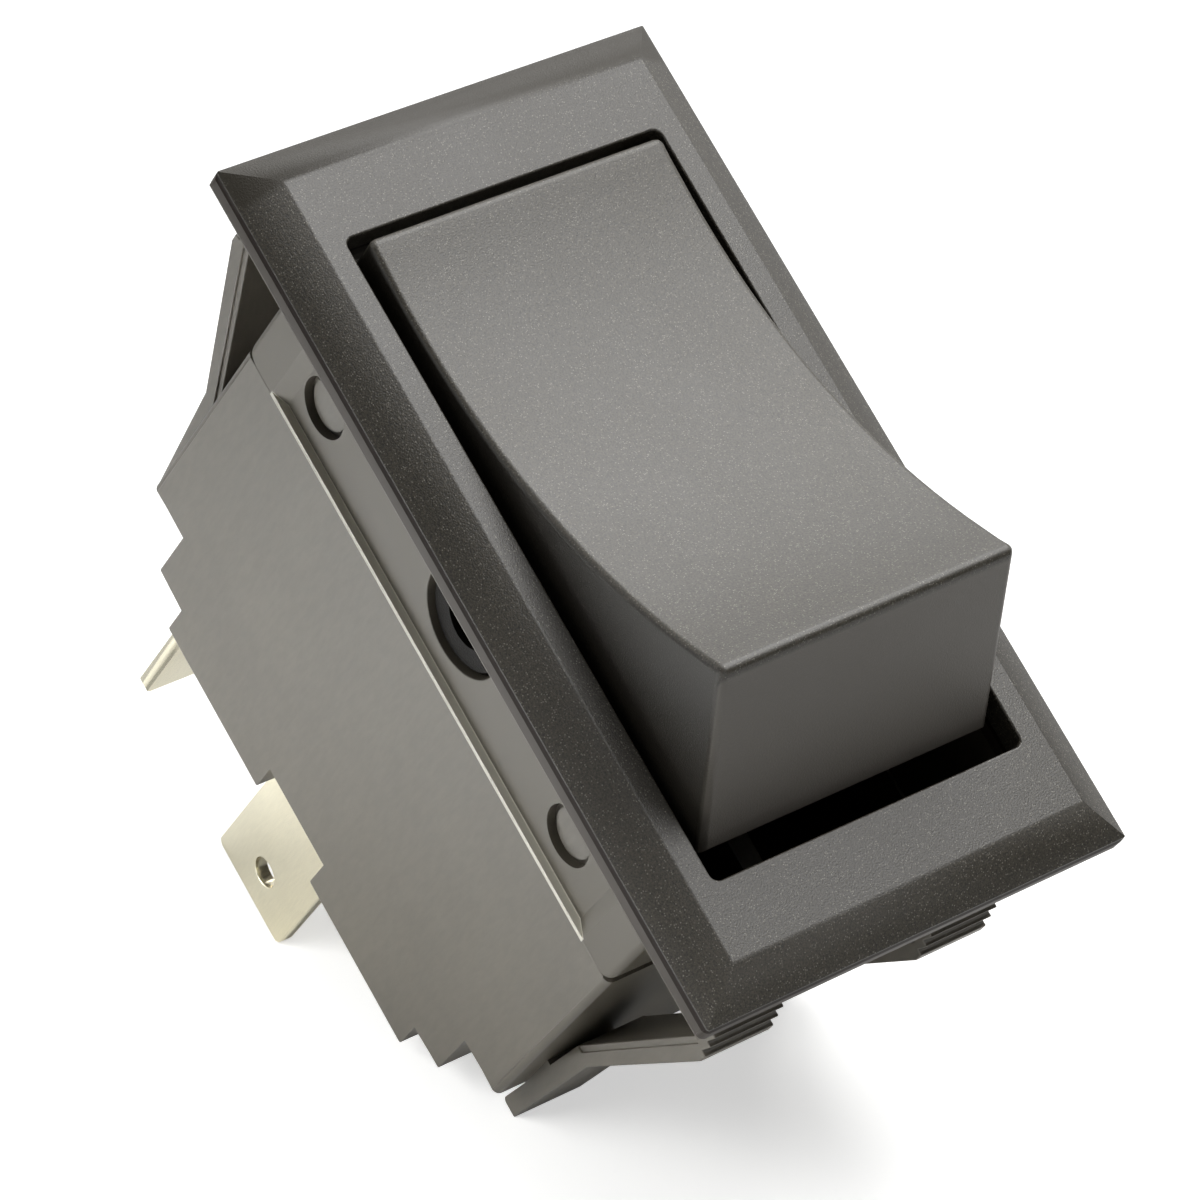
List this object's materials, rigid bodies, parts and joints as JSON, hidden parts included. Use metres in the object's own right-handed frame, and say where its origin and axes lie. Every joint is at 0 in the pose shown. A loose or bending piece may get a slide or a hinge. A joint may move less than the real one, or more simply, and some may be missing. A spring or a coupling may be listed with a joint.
{
  "type": "panel rocker switch",
  "caption": "Snap-in panel rocker switch with a bevelled bezel, a concave rocker, a stepped base with splayed ratchet legs, and flat blade terminals.",
  "frame": {"origin": "centre of the panel cut-out, in the plane of the bezel's underside, which lies on the panel's face", "axes": "+Z out of the panel towards the user; +X along the bezel towards the raised end of the rocker; +Y across the switch"},
  "size_m": [0.0464, 0.0252, 0.049],
  "materials": {
    "frame_nylon": "moulded black nylon with a fine spark-eroded texture",
    "rocker_nylon": "moulded black nylon with a fine spark-eroded texture",
    "base_nylon": "moulded black nylon, smooth from the tool",
    "plated_brass": "stamped brass with bright tin plating",
    "copper_alloy": "stamped copper strip",
    "contact_silver": "silver contact rivet head",
    "spring_steel": "drawn spring wire",
    "acetal": "natural acetal, moulded"
  },
  "bodies": {
    "housing": {"bezel_frame": "frame_nylon", "base_housing": "base_nylon", "fixed_contact_left": "contact_silver", "fixed_contact_right": "contact_silver", "common_terminal_left": "plated_brass", "common_terminal_right": "plated_brass", "end_terminal_left": "plated_brass", "end_terminal_right": "plated_brass"},
    "rocker": {"rocker": "rocker_nylon", "plunger_spring_left": "spring_steel", "plunger_spring_right": "spring_steel"},
    "plunger_left": {"plunger_left": "acetal"},
    "plunger_right": {"plunger_right": "acetal"},
    "contact_arm_left": {"contact_arm_left": "copper_alloy", "arm_contact_left": "contact_silver"},
    "contact_arm_right": {"contact_arm_right": "copper_alloy", "arm_contact_right": "contact_silver"}
  },
  "joints": [
    {"name": "rocker_hinge", "type": "hinge", "parent": "housing", "child": "rocker", "pos_m": [0, 0, -0.00385], "axis": [0, 1, 0], "range_deg": [0, 31]},
    {"name": "plunger_slide_left", "type": "slide", "parent": "rocker", "child": "plunger_left", "axis": [-0.2672, 0, 0.9636], "range_m": [0, 0.0012], "stiffness_N_per_m": 400, "springref_m": -0.003, "deforming": ["plunger_spring_left"]},
    {"name": "plunger_slide_right", "type": "slide", "parent": "rocker", "child": "plunger_right", "axis": [-0.2672, 0, 0.9636], "range_m": [0, 0.0012], "stiffness_N_per_m": 400, "springref_m": -0.003, "deforming": ["plunger_spring_right"]},
    {"name": "contact_arm_hinge_left", "type": "hinge", "parent": "housing", "child": "contact_arm_left", "pos_m": [0, -0.00555, -0.01461], "axis": [0, 1, 0], "range_deg": [-16, 0]},
    {"name": "contact_arm_hinge_right", "type": "hinge", "parent": "housing", "child": "contact_arm_right", "pos_m": [0, 0.00555, -0.01461], "axis": [0, 1, 0], "range_deg": [-16, 0]}
  ],
  "couplings": [
    {"joint": "contact_arm_hinge_left", "follows": "rocker_hinge", "ratio": -0.51613},
    {"joint": "contact_arm_hinge_right", "follows": "rocker_hinge", "ratio": -0.51613}
  ]
}
